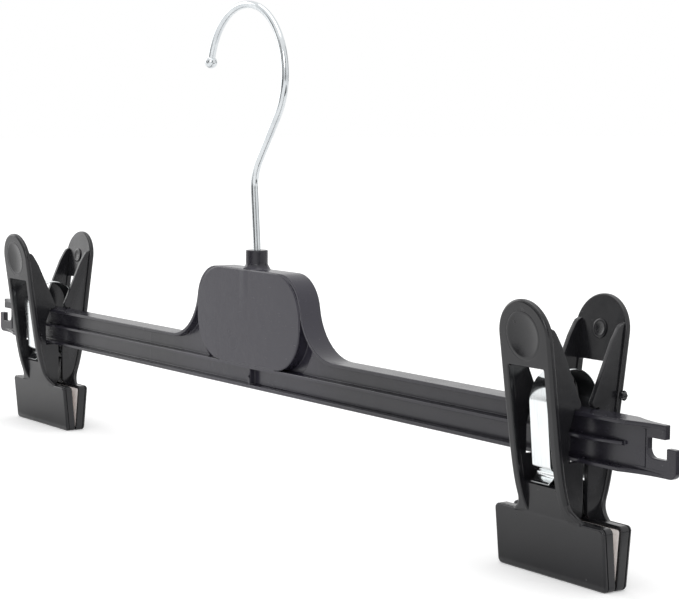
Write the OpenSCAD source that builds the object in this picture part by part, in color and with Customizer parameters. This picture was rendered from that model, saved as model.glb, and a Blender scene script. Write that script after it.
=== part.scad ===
// Clothes hanger: a moulded bar with a swivel wire hook and two sliding spring clips.
// X runs along the bar, Y from front to back and Z up. Z = 0 is the plane that the closed jaws
// stand on, and X = 0 is the axis of the hook. Sizes are in millimetres.

/* [Bar] */
// Length from tail tip to tail tip
bar_len = 362; // [330:1:430]
// Depth of the flanges, front to back
bar_w = 7.2; // [6.4:0.1:8]
// Height of the bar
bar_h = 12.6; // [12.2:0.1:14]
// Height of the underside above the feet of the jaws
bar_z = 30.6; // [29.6:0.1:32]
// Thickness of the flanges
flange_t = 1.1; // [0.8:0.1:1.5]
// Thickness of the web between the flanges
web_t = 1.8; // [1.4:0.1:2.4]
// Height of the middle rib above the underside
rib_rise = 6.1; // [4.5:0.1:7]
// Thickness of the middle rib
rib_t = 1; // [0.7:0.1:1.4]
// Gap between the rib and each loop notch, and the length over which the rib gets lower
rib_end = 7.5; // [6.8:0.1:10]
// How far the rib stands out of the web at its ends
rib_low = 1.1; // [0.6:0.1:1.8]

/* [Tails] */
// Width of the upright lip at the end of each loop notch
lip_w = 3.1; // [2.4:0.1:4]
// Height of the lip above the underside of the bar
lip_h = 7.2; // [6.8:0.1:7.8]
// Length of each loop notch
notch_w = 6.3; // [5.2:0.1:7.5]
// Height of the notch floor above the underside of the bar
notch_rise = 4.3; // [3.6:0.1:4.5]
// Height of each loop notch
notch_h = 4.8; // [4.6:0.1:5.1]
// Corner radius at the foot of the notch
notch_r = 2.2; // [1:0.1:2.2]
// How far the upper prong stops short of the lip
prong_gap = 0.5; // [0.3:0.1:1]
// Length over which the flanges narrow to the thickness of the web
taper_len = 13; // [8:0.5:15]
// Length of the shallow pockets beside each notch
pocket_len = 5.2; // [3:0.1:6]
// Depth of those pockets
pocket_deep = 0.2; // [0.1:0.05:0.4]
// Plain web between a pocket and the notch
pocket_gap = 0.6; // [0.4:0.1:1.2]

/* [Hub] */
// Height of the top of the hub above the bar
hub_rise = 23.9; // [21:0.1:27]
// Distance of the shoulder arcs from the middle
hub_cx = 18.2; // [16:0.1:21]
// Radius of the shoulders
hub_r = 11.3; // [10:0.1:13]
// Radius of the arcs that run out into the bar
foot_r = 17; // [14:0.1:19]
// Width of the blank front panel
panel_w = 58; // [54:0.5:60]
// Corner radius of the panel
panel_r = 13.4; // [9:0.1:14]
// How far the panel stands proud of the flanges
panel_proud = 0.3; // [0:0.05:0.6]
// Width of the recess round the panel
moat_w = 3.6; // [2:0.1:5]
// Depth of the recess in the web
moat_deep = 0.8; // [0.4:0.1:1.1]

/* [Neck] */
// Diameter of the neck
neck_d = 6.8; // [5.8:0.1:7.2]
// Height of the neck above the hub
neck_h = 5.9; // [4:0.1:8]
// Height of the flared foot of the neck
neck_foot = 1.6; // [0.8:0.1:2.4]
// How far that foot flares out on the radius
neck_flare = 0.9; // [0.4:0.1:1.2]
// Length of the bearing for the hook, down from the top of the neck
bearing_len = 16.5; // [12:0.1:20]
// Running clearance of the hook in its bearing, on the radius
bearing_gap = 0.06; // [0.03:0.01:0.1]

/* [Hook] */
// Diameter of the wire
wire_d = 2.3; // [2:0.1:3]
// Radius of the bend, to the middle of the wire
hook_r = 21.3; // [19:0.1:26]
// Distance of the middle of the bend from the axis, to the left
hook_shift = 6; // [3:0.1:9]
// Height of the middle of the bend above the neck
hook_rise = 53.5; // [48:0.5:64]
// Lean of the shank above the neck, in degrees
lean = 4.8; // [0:0.1:6]
// Length of the leaning shank
shank_len = 17; // [12:0.5:22]
// Radius of the bend between shank and hook
crook_r = 14; // [10:0.5:18]
// Angle at which the bend ends, from the right, in degrees
hook_end = 167; // [150:1:200]
// Diameter of the ball at the tip
ball_d = 3.9; // [3.2:0.1:5]
// Diameter of the head that keeps the hook in the hub
head_d = 4.4; // [3.8:0.1:5]
// Thickness of the head
head_t = 1.4; // [1:0.1:2]
// Play between the head and the end of the bearing
head_gap = 0.15; // [0.1:0.05:0.3]

/* [Clips] */
// Distance of the middle of each clip from the tip of its tail
clip_inset = 40; // [36:0.5:60]
// Width of the jaws
jaw_w = 40.6; // [34:0.1:46]
// Height of the jaws
jaw_h = 15.9; // [13:0.1:17]
// Thickness of one jaw at its lip
jaw_lip_t = 3.4; // [2.6:0.1:4]
// Thickness of one jaw at its top
jaw_top_t = 3.55; // [2.8:0.05:4.2]
// Corner radius of the jaws
jaw_r = 1.4; // [0.5:0.1:2.5]
// Gap from the middle plane to a closed lip
lip_gap = 0.12; // [0.1:0.01:0.2]
// Gap from the middle plane to a closed jaw at its top
throat = 1.45; // [1:0.05:2]
// Thickness of a liner
liner_t = 0.8; // [0.5:0.1:1.2]
// Margin of plain jaw round a liner
liner_margin = 0.9; // [0.6:0.1:2]

/* [Arms] */
// Height of the arms above the feet
arm_top = 70.5; // [67:0.5:76]
// Width of the thumb pad
arm_w = 18.8; // [17:0.1:21]
// Width of the arm at its narrowest place
waist_w = 18.2; // [17:0.1:19]
// Thickness of the arm plate
arm_t = 1.9; // [1.5:0.1:2.4]
// How fast the arm leans outwards
arm_slope = 0.13; // [0.1:0.005:0.16]
// How far the heel of the arm swells outwards
heel = 2.8; // [1.5:0.1:3.2]
// Height over which the heel swells
heel_h = 5.2; // [4:0.1:7]
// Width of the window
window_w = 13.3; // [11:0.1:13.6]
// Height of the lower edge of the window
window_z0 = 24; // [22:0.1:26]
// Height of the upper edge of the window
window_z1 = 53.7; // [53:0.1:55]
// Thickness of the plate between the jaw and the window
plate_t = 1.8; // [1.4:0.1:2.4]
// Outward slope of that plate
plate_slope = 0.19; // [0.15:0.01:0.22]
// Radius of the thumb dimple
dimple_r = 5.9; // [4:0.1:7]
// Depth of the thumb dimple
dimple_deep = 0.7; // [0.3:0.1:1]
// Diameter of the round boss behind the dimple
boss_d = 5; // [3:0.1:7]
// Height of the round boss
boss_h = 0.7; // [0.3:0.1:1.2]

/* [Wings] */
// Thickness of a wing
wing_t = 1.5; // [1.2:0.1:2]
// How far a wing stands in from the side of the arm
wing_inset = 0.5; // [0.2:0.1:0.8]
// Height of the upper end of a wing
wing_top = 63.5; // [61:0.5:65]
// Distance of the pivot from the middle plane
pivot_y = 3; // [2.6:0.1:3.3]
// Radius of the round nose that a half rocks on
pivot_r = 1.2; // [1:0.05:1.4]
// Gap between a nose and the top of the bar
pivot_gap = 0.15; // [0.1:0.05:0.3]
// Room between the bar and the opening in the wings
wing_room = 2.1; // [1.6:0.1:2.6]
// Gap between the bar and the wings under it
under_gap = 0.3; // [0.2:0.05:0.5]
// Gap from the middle plane to the lower wings
wing_gap = 0.9; // [0.5:0.1:1.3]

/* [Spring] */
// Width of the leaf
leaf_w = 6.8; // [5.5:0.1:9]
// Thickness of the leaf
leaf_t = 0.5; // [0.4:0.05:0.7]
// Outer radius of the arch
arch_r = 8.4; // [7.8:0.1:8.8]
// Height of the top of the arch above the bar
arch_rise = 9.6; // [9:0.1:10.4]
// Distance of the foot of a leg from the middle plane
leg_y = 7; // [6.7:0.1:7.3]
// Height of the curl at the foot of a leg above the window's edge
curl_rise = 4.4; // [3.8:0.1:5]

/* [Hidden] */
$fn = 64;
EPS = 0.01;
BLACK = "#26262a";
STEEL = "#d8dde0";
LINER = "#cdc3c0";
bar_top = bar_z + bar_h;
half_len = bar_len / 2;
clip_x = half_len - clip_inset;
hub_top = bar_top + hub_rise;
hub_cz = hub_top - hub_r;
foot_cz = bar_top + foot_r;
foot_cx = hub_cx + sqrt(pow(hub_r + foot_r, 2) - pow(foot_cz - hub_cz, 2));
rib_z = bar_z + rib_rise;
panel_z0 = rib_z + rib_t;
panel_y = bar_w / 2 + panel_proud;
neck_top = hub_top + neck_h;
bearing_z = neck_top - bearing_len;
pocket_w = head_d + 1.6;
pocket_h = head_t + head_gap + 1.2;
hook_c = [-hook_shift, neck_top + hook_rise];
shank_z = neck_top + 1;
shank_end = [-shank_len * sin(lean), shank_z + shank_len * cos(lean)];
crook_c = shank_end + crook_r * [cos(lean), sin(lean)];
span = hook_c - crook_c;
climb = atan2(span[1], span[0]) - asin((hook_r + crook_r) / norm(span));
pivot_z = bar_top + pivot_gap + pivot_r;
jaw_lip_y = lip_gap + jaw_lip_t;
jaw_top_y = throat + jaw_top_t;
pad_c = arm_top - arm_w / 2;
room_y = bar_w / 2 + wing_room;
lower_z = bar_z - under_gap;
plate_y = jaw_top_y + plate_slope * (window_z0 - jaw_h);
arch_z = bar_top + arch_rise - arch_r;
curl_z = window_z0 + curl_rise;

// Distance of the outer face of an arm from the middle plane at height z
function arm_y(z) =
    jaw_top_y + heel * (1 - exp((jaw_h - z) / heel_h)) + arm_slope * (z - jaw_h);

// Half width of an arm at height z, from the flare at its foot to the pad
function arm_half(z) =
    z < jaw_h + 5
        ? waist_w / 2 + 4 * pow((jaw_h + 5 - z) / 5, 2.5)
        : min(arm_w, waist_w + (arm_w - waist_w) * max(0, z - 28) / (pad_c - 28)) / 2;

// Extrudes a profile drawn in X and Z along Y, from y0 to y1
module along_y(y0, y1) {
    translate([0, y1, 0]) rotate([90, 0, 0]) linear_extrude(y1 - y0) children();
}

// Extrudes a profile drawn in Y and Z along X, w wide about the middle
module along_x(w) {
    rotate([90, 0, 90]) linear_extrude(w, center = true) children();
}

// Flat strip from p to q with round ends
module strip(p, q, t) {
    n = [q[1] - p[1], p[0] - q[0]] / norm(q - p) * t / 2;
    polygon([p + n, q + n, q - n, p - n]);
    for (c = [p, q]) translate(c) circle(d = t, $fn = 24);
}

// Outline of the bar and hub, drawn in by t
module outline(t = 0) {
    translate([-half_len + t, bar_z + t]) square([bar_len - 2 * t, bar_h - 2 * t]);
    translate([-hub_cx, bar_z + t]) square([2 * hub_cx, hub_top - bar_z - 2 * t]);
    for (s = [-1, 1]) {
        translate([s * hub_cx, hub_cz]) circle(hub_r - t, $fn = 96);
        difference() {
            polygon([
                [0, bar_z + t], [s * foot_cx, bar_z + t], [s * foot_cx, foot_cz],
                [s * hub_cx, hub_cz], [0, hub_cz]
            ]);
            translate([s * foot_cx, foot_cz]) circle(foot_r + t, $fn = 120);
        }
    }
}

// Everything that is cut from the right tail: the loop notch, its mouth and the outer corner
module tail_cut() {
    floor_z = bar_z + notch_rise;
    lip_x = half_len - lip_w;
    difference() {
        translate([lip_x - notch_w, floor_z]) square([notch_w, notch_h]);
        difference() {
            translate([lip_x - notch_w, floor_z]) square(notch_r);
            translate([lip_x - notch_w + notch_r, floor_z + notch_r]) circle(notch_r);
        }
    }
    translate([lip_x - prong_gap, bar_z + lip_h]) square([lip_w + 2, bar_h]);
    difference() {
        translate([half_len - 2, bar_z - 1]) square(3);
        translate([half_len - 2, bar_z + 2]) circle(2);
    }
}

// Rounded outline of the front panel, grown by g
module panel_outline(g = 0) {
    x = panel_w / 2 - panel_r;
    z0 = panel_z0 + panel_r;
    z1 = hub_top - panel_r;
    for (s = [-1, 1], z = [z0, z1]) translate([s * x, z]) circle(panel_r + g, $fn = 96);
    translate([-x, z0 - panel_r - g]) square([2 * x, z1 - z0 + 2 * (panel_r + g)]);
    translate([-x - panel_r - g, z0]) square([2 * (x + panel_r + g), z1 - z0]);
}

// Plan of the narrowing of the flanges at the right tail, on the front side
module taper_plan() {
    drop = (bar_w - web_t) / 2;
    r = (pow(taper_len, 2) + pow(drop, 2)) / (2 * drop);
    x = half_len - lip_w - prong_gap;
    translate([x, -web_t / 2 - r]) circle(r, $fn = 200);
    translate([x, -bar_w]) square([lip_w + 5, bar_w - web_t / 2]);
}

module flanges() {
    difference() {
        along_y(-bar_w / 2, bar_w / 2) difference() {
            outline();
            outline(flange_t);
        }
        for (a = [0, 1], b = [0, 1])
            mirror([a, 0, 0]) mirror([0, b, 0])
                translate([0, 0, bar_z - 1]) linear_extrude(bar_h + 2) taper_plan();
    }
}

module bar_web() {
    difference() {
        along_y(-web_t / 2, web_t / 2) outline();
        along_y(-web_t, moat_deep - web_t / 2) intersection() {
            outline(flange_t);
            translate([-half_len, panel_z0]) square([bar_len, hub_rise + bar_h]);
            panel_outline(moat_w);
        }
    }
}

// Plan of the middle rib, which gets lower towards its ends
module rib_plan() {
    end = half_len - lip_w - notch_w - rib_end;
    low = web_t / 2 + rib_low;
    polygon([
        for (s = [1, -1]) each [
            [s * end, -s * low], [s * end, s * low],
            [s * (end - rib_end), s * bar_w / 2], [-s * (end - rib_end), s * bar_w / 2]
        ]
    ]);
}

// Shallow pockets in both faces of the right tail, between the rib and the notch
module tail_pockets() {
    x = half_len - lip_w - notch_w - pocket_gap - pocket_len / 2;
    for (s = [-1, 1])
        translate([x, s * web_t / 2, bar_z + bar_h / 2])
            cube([pocket_len, 2 * pocket_deep, bar_h - 2 * flange_t - 1.2], center = true);
}

module bar() {
    color(BLACK) difference() {
        union() {
            flanges();
            bar_web();
            translate([0, 0, rib_z]) linear_extrude(rib_t) rib_plan();
            along_y(-panel_y, 0) panel_outline();
            // Bearing for the hook, with the neck and its flared foot on top
            translate([0, 0, bearing_z]) cylinder(d = neck_d, h = bearing_len);
            translate([0, 0, hub_top - EPS])
                cylinder(d1 = neck_d + 2 * neck_flare, d2 = neck_d, h = neck_foot);
            // Short upright rib in the middle of the lower web
            translate([-0.5, -bar_w / 2, bar_z]) cube([1, bar_w, rib_rise + EPS]);
        }
        for (s = [0, 1]) mirror([s, 0, 0]) {
            along_y(-bar_w, bar_w) tail_cut();
            tail_pockets();
        }
        translate([0, 0, bearing_z - 1])
            cylinder(d = wire_d + 2 * bearing_gap, h = bearing_len + 2);
        // Pocket for the head of the hook, open to the back
        translate([-pocket_w / 2, -pocket_w / 2 + 0.6, bearing_z - pocket_h])
            cube([pocket_w, bar_w + pocket_w, pocket_h]);
    }
}

// Wire that follows an arc about c in X and Z, from angle a0 to a1
module bent_wire(c, r, a0, a1) {
    translate([c[0], 0, c[1]]) rotate([90, 0, 0]) rotate(a0)
        rotate_extrude(angle = a1 - a0, $fn = 180)
            translate([r, 0]) circle(d = wire_d, $fn = 32);
}

// Straight wire from p to q in X and Z
module straight_wire(p, q) {
    translate([p[0], 0, p[1]]) rotate([0, atan2(q[0] - p[0], q[1] - p[1]), 0])
        cylinder(d = wire_d, h = norm(q - p));
}

module hook() {
    side = [-sin(climb), cos(climb)];
    tip = hook_c + hook_r * [cos(hook_end), sin(hook_end)];
    color(STEEL) {
        translate([0, 0, bearing_z - head_gap - head_t]) cylinder(d = head_d, h = head_t);
        translate([0, 0, bearing_z - head_gap - EPS])
            cylinder(d = wire_d, h = shank_z - bearing_z + head_gap + EPS);
        straight_wire([0, shank_z], shank_end);
        bent_wire(crook_c, crook_r, climb + 90, 180 + lean);
        straight_wire(crook_c + crook_r * side, hook_c - hook_r * side);
        bent_wire(hook_c, hook_r, climb - 90, hook_end);
        // The stretches join in spheres a hair wider than the wire
        for (p = [[0, shank_z], shank_end, crook_c + crook_r * side, hook_c - hook_r * side])
            translate([p[0], 0, p[1]]) sphere(d = wire_d + 2 * EPS);
        translate([tip[0], 0, tip[1]]) sphere(d = ball_d);
    }
}

// Inner face of a closed jaw, moved outwards by t, at height z
function bite(z, t) = lip_gap + (throat - lip_gap) * z / jaw_h + t;

// Jaw block, without its liner
module jaw_block() {
    difference() {
        intersection() {
            along_x(jaw_w) polygon([
                [lip_gap, 0], [jaw_lip_y, 0], [jaw_top_y, jaw_h], [throat, jaw_h]
            ]);
            along_y(0, jaw_top_y + 1) rounded(jaw_w, jaw_h, jaw_r);
        }
        liner(EPS);
    }
}

// Rectangle with round corners that stands on Z = 0
module rounded(w, h, r) {
    for (s = [-1, 1], z = [r, h - r]) translate([s * (w / 2 - r), z]) circle(r, $fn = 32);
    translate([-w / 2 + r, 0]) square([w - 2 * r, h]);
    translate([-w / 2, r]) square([w, h - 2 * r]);
}

// Liner of a jaw, or with over its seat, which is open by that much
module liner(over = 0) {
    z0 = liner_margin;
    z1 = jaw_h - liner_margin;
    w = jaw_w - 2 * liner_margin;
    along_x(w) polygon([
        [bite(z0, -over), z0], [bite(z0, liner_t), z0],
        [bite(z1, liner_t), z1], [bite(z1, -over), z1]
    ]);
}

// Front view of an arm, with the round pad on top
module arm_face() {
    zs = [for (i = [0:8]) jaw_h - 1 + i * 0.8, 28, pad_c];
    polygon(concat(
        [for (z = zs) [arm_half(z), z]],
        [for (i = [len(zs) - 1:-1:0]) [-arm_half(zs[i]), zs[i]]]
    ));
    translate([0, pad_c]) circle(arm_w / 2, $fn = 96);
}

// Side view of an arm plate, t thick
module arm_side(t) {
    zs = concat(
        [jaw_h - 1], [for (i = [0:7]) jaw_h + i * i * 0.45],
        [(jaw_h + arm_top) / 2, arm_top + 1]
    );
    polygon(concat(
        [for (z = zs) [arm_y(max(z, jaw_h)), z]],
        [for (i = [len(zs) - 1:-1:0]) [arm_y(max(zs[i], jaw_h)) - t, zs[i]]]
    ));
}

// Side view of a wing: it carries the nose that the half rocks on and goes round the bar
module wing_side() {
    deep = arm_t / 2;
    step = arm_y(wing_top) - 2.2;
    polygon([
        [arm_y(wing_top) - deep, wing_top + 1], [step, wing_top + 0.3],
        [step - 1.6, wing_top - 1], [step - 3.4, wing_top - 4],
        [pivot_y - pivot_r * 0.98, pivot_z + 0.2],
        [pivot_y + pivot_r * 0.7, pivot_z - pivot_r * 0.7],
        [room_y, bar_top - 0.3], [room_y, lower_z], [wing_gap + 1.4, lower_z],
        [wing_gap, lower_z - 1], [wing_gap, jaw_h + 1.2],
        [throat + 0.4, jaw_h - 0.6], [jaw_top_y - 0.6, jaw_h - 0.6],
        for (i = [0:7]) [arm_y(jaw_h + i * i * 0.45) - deep, jaw_h + i * i * 0.45]
    ]);
    translate([pivot_y, pivot_z]) circle(pivot_r, $fn = 48);
}

// One half of a clip, drawn on the back side of the middle plane
module clip_half() {
    dimple_ball = (pow(dimple_r, 2) + pow(dimple_deep, 2)) / (2 * dimple_deep);
    dimple_z = pad_c + 0.4;
    tilt = atan(arm_slope);
    color(BLACK) {
        jaw_block();
        difference() {
            intersection() {
                along_x(2 * arm_w) arm_side(arm_t);
                along_y(0, 30) arm_face();
            }
            translate([-window_w / 2, 0, jaw_h - 2])
                cube([window_w, 30, window_z1 - jaw_h + 2]);
            translate([0, arm_y(dimple_z), dimple_z]) rotate([-tilt, 0, 0])
                translate([0, dimple_ball - dimple_deep, 0]) sphere(dimple_ball, $fn = 160);
        }
        translate([0, arm_y(dimple_z) - arm_t, dimple_z]) rotate([90 - tilt, 0, 0])
            translate([0, 0, -arm_t / 3]) cylinder(d = boss_d, h = boss_h + arm_t / 3);
        along_x(waist_w - 2 * wing_inset - 1) polygon([
            [jaw_top_y, jaw_h - 0.5], [jaw_top_y, jaw_h], [plate_y, window_z0],
            [plate_y - plate_t, window_z0], [jaw_top_y - plate_t, jaw_h - 0.5]
        ]);
        for (s = [-1, 1])
            translate([s * ((waist_w - wing_t) / 2 - wing_inset), 0, 0])
                along_x(wing_t) wing_side();
    }
}

module front_half() {
    mirror([0, 1, 0]) clip_half();
}

// Leaf spring: an arch over the bar, whose legs press the halves together below it
module spring() {
    mid_r = arch_r - leaf_t / 2;
    top = [mid_r, arch_z];
    foot = [leg_y - leaf_t / 2, curl_z];
    inner = foot + [-1, -1.3];
    lower = inner + [0.2, -1];
    lip = [plate_y + 0.75, window_z0 + 0.35];
    color(STEEL) along_x(leaf_w) {
        difference() {
            translate([0, arch_z]) circle(arch_r, $fn = 120);
            translate([0, arch_z]) circle(arch_r - leaf_t, $fn = 120);
            translate([-arch_r - 1, arch_z - 2 * arch_r]) square([2 * arch_r + 2, 2 * arch_r]);
        }
        for (s = [-1, 1]) mirror([s < 0 ? 1 : 0, 0]) {
            strip(top, foot, leaf_t);
            strip(foot, inner, leaf_t);
            strip(inner, lower, leaf_t);
            strip(lower, lip, leaf_t);
        }
    }
}

module liner_solid() {
    color(LINER) liner();
}

module left_front_jaw() translate([-clip_x, 0, 0]) front_half();
module left_rear_jaw() translate([-clip_x, 0, 0]) clip_half();
module left_front_liner() translate([-clip_x, 0, 0]) mirror([0, 1, 0]) liner_solid();
module left_rear_liner() translate([-clip_x, 0, 0]) liner_solid();
module left_spring() translate([-clip_x, 0, 0]) spring();
module right_front_jaw() translate([clip_x, 0, 0]) front_half();
module right_rear_jaw() translate([clip_x, 0, 0]) clip_half();
module right_front_liner() translate([clip_x, 0, 0]) mirror([0, 1, 0]) liner_solid();
module right_rear_liner() translate([clip_x, 0, 0]) liner_solid();
module right_spring() translate([clip_x, 0, 0]) spring();

bar();
hook();
left_front_jaw();
left_rear_jaw();
left_front_liner();
left_rear_liner();
left_spring();
right_front_jaw();
right_rear_jaw();
right_front_liner();
right_rear_liner();
right_spring();
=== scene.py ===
import math

import bmesh
import bpy
from mathutils import Matrix, Vector
from mathutils.bvhtree import BVHTree


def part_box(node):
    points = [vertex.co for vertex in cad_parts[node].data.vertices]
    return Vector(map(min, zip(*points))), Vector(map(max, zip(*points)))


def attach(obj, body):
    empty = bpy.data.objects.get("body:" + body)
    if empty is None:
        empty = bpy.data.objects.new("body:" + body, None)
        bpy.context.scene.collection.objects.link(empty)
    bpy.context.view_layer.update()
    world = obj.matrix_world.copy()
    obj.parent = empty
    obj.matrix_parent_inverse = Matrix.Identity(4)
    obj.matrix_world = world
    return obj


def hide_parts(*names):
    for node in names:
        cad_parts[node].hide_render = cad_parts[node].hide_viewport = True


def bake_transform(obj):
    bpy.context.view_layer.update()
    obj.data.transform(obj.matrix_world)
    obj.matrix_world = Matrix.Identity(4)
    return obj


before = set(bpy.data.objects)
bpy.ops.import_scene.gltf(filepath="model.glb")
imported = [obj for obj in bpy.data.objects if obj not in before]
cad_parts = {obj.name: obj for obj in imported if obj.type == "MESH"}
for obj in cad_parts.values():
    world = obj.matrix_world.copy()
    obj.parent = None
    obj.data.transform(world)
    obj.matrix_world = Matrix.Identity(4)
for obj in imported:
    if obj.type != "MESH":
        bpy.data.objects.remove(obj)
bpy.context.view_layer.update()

MM = 0.001

# Where the bar ends and the clips sit, in metres, read from the frame
HALF_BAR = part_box("bar")[1].x
CLIP_X = {side: sum(c.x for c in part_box(side + "_spring")) / 2 for side in ("left", "right")}


# ---------------------------------------------------------------- camera

PICTURE_W, SENSOR_W = 679, 36


def add_camera(focal_px, yaw, pitch, roll, place_mm):
    """Camera of the picture, from its focal length in pixels and its three turns in radians."""
    forward = Vector((-math.sin(yaw) * math.cos(pitch), math.cos(yaw) * math.cos(pitch),
                      -math.sin(pitch)))
    level = Vector((math.cos(yaw), math.sin(yaw), 0))
    above = level.cross(forward)
    right = math.cos(roll) * level + math.sin(roll) * above
    up = -math.sin(roll) * level + math.cos(roll) * above
    data = bpy.data.cameras.new("camera")
    data.sensor_width = SENSOR_W
    data.lens = focal_px / PICTURE_W * SENSOR_W
    data.clip_start = 0.01
    camera = bpy.data.objects.new("camera", data)
    bpy.context.scene.collection.objects.link(camera)
    turn = Matrix((right, up, -forward)).transposed().to_4x4()
    camera.matrix_world = Matrix.Translation(Vector(place_mm) * MM) @ turn
    bpy.context.scene.camera = camera


add_camera(focal_px=1921.9, yaw=0.9567, pitch=0.0987, roll=0.0064,
           place_mm=(495.2, -318.02, 115.95))
bpy.context.scene.view_settings.view_transform = "Standard"


# ---------------------------------------------------------------- shader helpers

class Value:
    """An output socket of a shader node. Sums and products of it add their Math nodes."""

    def __init__(self, shader, socket):
        self.shader = shader
        self.socket = socket

    def math(self, operation, *others):
        inputs = dict(enumerate((self,) + others))
        return self.shader.node("ShaderNodeMath", {"operation": operation}, inputs)

    def __add__(self, other):
        return self.math("ADD", other)

    __radd__ = __add__

    def __sub__(self, other):
        return self.math("SUBTRACT", other)

    def __rsub__(self, other):
        return self.shader.node("ShaderNodeMath", {"operation": "SUBTRACT"}, {0: other, 1: self})

    def __mul__(self, other):
        return self.math("MULTIPLY", other)

    __rmul__ = __mul__

    def __truediv__(self, other):
        return self.math("DIVIDE", other)

    def between(self, low, high):
        """0 at low and under, 1 at high and over, straight between."""
        return self.shader.node("ShaderNodeMapRange", {}, {
            "Value": self, "From Min": low, "From Max": high})


class Nodes:
    """A tree of shader nodes under construction."""

    def __init__(self, tree):
        self.tree = tree
        self.tree.nodes.clear()

    def node(self, kind, settings, inputs, output=0):
        """Adds a node: first its settings, then the values or links of its sockets."""
        node = self.tree.nodes.new(kind)
        for key, value in settings.items():
            setattr(node, key, value)
        for key, value in inputs.items():
            self.set(node.inputs[key], value)
        return Value(self, node.outputs[output])

    def set(self, socket, value):
        if isinstance(value, Value):
            self.tree.links.new(value.socket, socket)
        else:
            socket.default_value = value


class Shader(Nodes):
    """A material under construction: one Principled BSDF and what feeds it."""

    def __init__(self, name, **fixed):
        self.material = bpy.data.materials.new(name)
        self.material.use_nodes = True
        super().__init__(self.material.node_tree)
        output = self.tree.nodes.new("ShaderNodeOutputMaterial")
        self.surface = self.tree.nodes.new("ShaderNodeBsdfPrincipled")
        self.tree.links.new(self.surface.outputs[0], output.inputs[0])
        for socket, value in fixed.items():
            self.surface.inputs[socket.replace("_", " ")].default_value = value

    def feed(self, socket, value):
        self.set(self.surface.inputs[socket], value)

    def places(self, scale=(1, 1, 1), turn=(0, 0, 0)):
        """Object coordinates, scaled and turned."""
        here = self.node("ShaderNodeTexCoord", {}, {}, "Object")
        return self.node("ShaderNodeMapping", {}, {
            "Vector": here, "Scale": scale, "Rotation": turn})

    def axis(self, where, letter):
        """One coordinate of a place."""
        return self.node("ShaderNodeSeparateXYZ", {}, {"Vector": where}, letter)

    def noise(self, where, scale, detail, rough):
        return self.node("ShaderNodeTexNoise", {}, {
            "Vector": where, "Scale": scale, "Detail": detail, "Roughness": rough}, "Fac")

    def cells(self, where, scale):
        """Distance to the middle of the nearest of scattered cells."""
        return self.node("ShaderNodeTexVoronoi", {}, {"Vector": where, "Scale": scale}, "Distance")

    def mix(self, amount, first, second):
        return self.node("ShaderNodeMix", {"data_type": "RGBA"}, {
            0: amount, 6: first, 7: second}, 2)

    def bump(self, height, depth, strength=1.0, under=None):
        """Relief of a depth in millimetres, over another relief if there is one."""
        inputs = {"Height": height, "Distance": depth * MM, "Strength": strength}
        if under is not None:
            inputs["Normal"] = under
        return self.node("ShaderNodeBump", {}, inputs)


def rgb(r, g, b):
    return (r, g, b, 1.0)


# ---------------------------------------------------------------- finishes

# How often each pattern repeats in a metre
MOTTLING, PATCHES, SKIN, FLOW_LINES, DUST, SCUFFS, NICKS = 38, 130, 5200, 240, 1500, 420, 170
DRAW_LINES, DRAW_BANDS, STEEL_CLOUDS, STEEL_SPOTS = 3600, 1100, 90, 900
FOAM_CLOUDS, FOAM_PORES = 160, 2600

# How a pattern is stretched: the flow of the melt, scuffs across the arms, and drawn steel
ALONG_FLOW, ACROSS_ARMS, ALONG_STOCK = (0.25, 1, 1), (1, 1, 7), (1, 1, 0.06)

# Grey of dust, and grey of the lighter edges, which are partly from rubbing and partly a painted
# highlight
DUST_GREY, RUBBING_AND_SHEEN_GREY = rgb(0.32, 0.32, 0.33), rgb(0.15, 0.15, 0.157)
STREAK_GREY, SPOT_GREY = rgb(0.3, 0.32, 0.335), rgb(0.55, 0.58, 0.6)
# Grey of the painted dark reflection on the inner side of the leaves
DARK_REFLECTION_GREY = rgb(0.075, 0.078, 0.083)
FOAM_DEEP, FOAM_PALE, PORE_SHADE_BROWN = rgb(0.9, 0.84, 0.81), rgb(0.95, 0.9, 0.87), rgb(0.55, 0.49, 0.47)


def tinted(tone, share):
    """A tone made darker or lighter by a share."""
    return tuple(c * share for c in tone) + (1,)


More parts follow.
